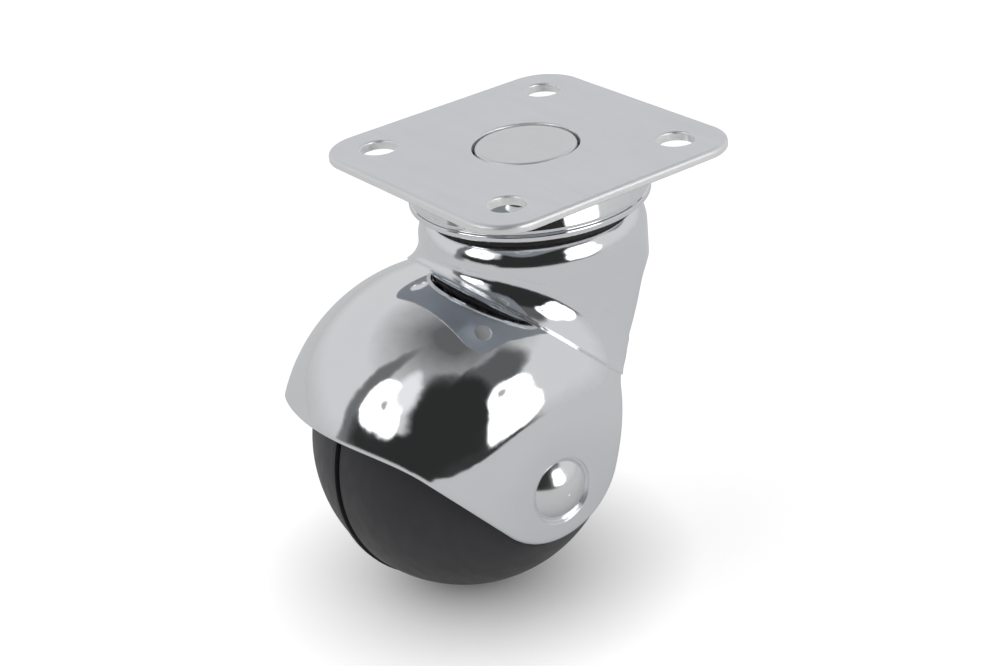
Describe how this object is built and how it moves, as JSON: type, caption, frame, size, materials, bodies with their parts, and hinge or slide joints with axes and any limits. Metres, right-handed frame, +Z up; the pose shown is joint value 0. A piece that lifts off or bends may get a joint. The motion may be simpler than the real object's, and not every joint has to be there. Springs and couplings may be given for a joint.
{
  "type": "ball castor",
  "caption": "Hooded ball castor: square screw plate, swivel neck, chromed hood over a black two-part ball on a domed axle pin.",
  "frame": {"origin": "middle of the top plate's upper face, on the swivel axis", "axes": "+Z up out of the plate, X along the ball's axle, the ball trails toward -Y"},
  "size_m": [0.0556, 0.0703, 0.0715],
  "materials": {
    "plate_steel": "bright plated, fine satin",
    "bearing_steel": "polished, oiled",
    "chrome": "mirror chrome plate",
    "ball_plastic": "satin black moulding",
    "bush_nylon": "natural nylon",
    "seal_rubber": "matt black rubber"
  },
  "bodies": {
    "plate": {"top_plate": "plate_steel", "raceway_cup": "chrome"},
    "upper_ring": {"upper_balls": "bearing_steel"},
    "lower_ring": {"lower_balls": "bearing_steel"},
    "fork": {"kingpin": "plate_steel", "kingpin_washer": "bearing_steel", "lower_race": "bearing_steel", "dust_seal": "seal_rubber", "hood": "chrome", "axle_pin": "chrome", "axle_cap": "chrome", "thrust_washers": "bearing_steel"},
    "ball": {"ball_half_near": "ball_plastic", "ball_half_far": "ball_plastic", "hub_bushes": "bush_nylon", "hub_tube": "bearing_steel"}
  },
  "joints": [
    {"name": "swivel", "type": "hinge", "parent": "plate", "child": "fork", "pos_m": [0, 0, 0], "axis": [0, 0, 1], "continuous": true},
    {"name": "upper_ring_turn", "type": "hinge", "parent": "plate", "child": "upper_ring", "pos_m": [0, 0, -0.00412], "axis": [0, 0, 1], "continuous": true},
    {"name": "lower_ring_turn", "type": "hinge", "parent": "plate", "child": "lower_ring", "pos_m": [0, 0, -0.0047], "axis": [0, 0, 1], "continuous": true},
    {"name": "ball_roll", "type": "hinge", "parent": "fork", "child": "ball", "pos_m": [0, -0.0177, -0.0462], "axis": [1, 0, 0], "continuous": true}
  ],
  "couplings": [
    {"joint": "upper_ring_turn", "follows": "swivel", "ratio": 0.5},
    {"joint": "lower_ring_turn", "follows": "swivel", "ratio": 0.5}
  ]
}
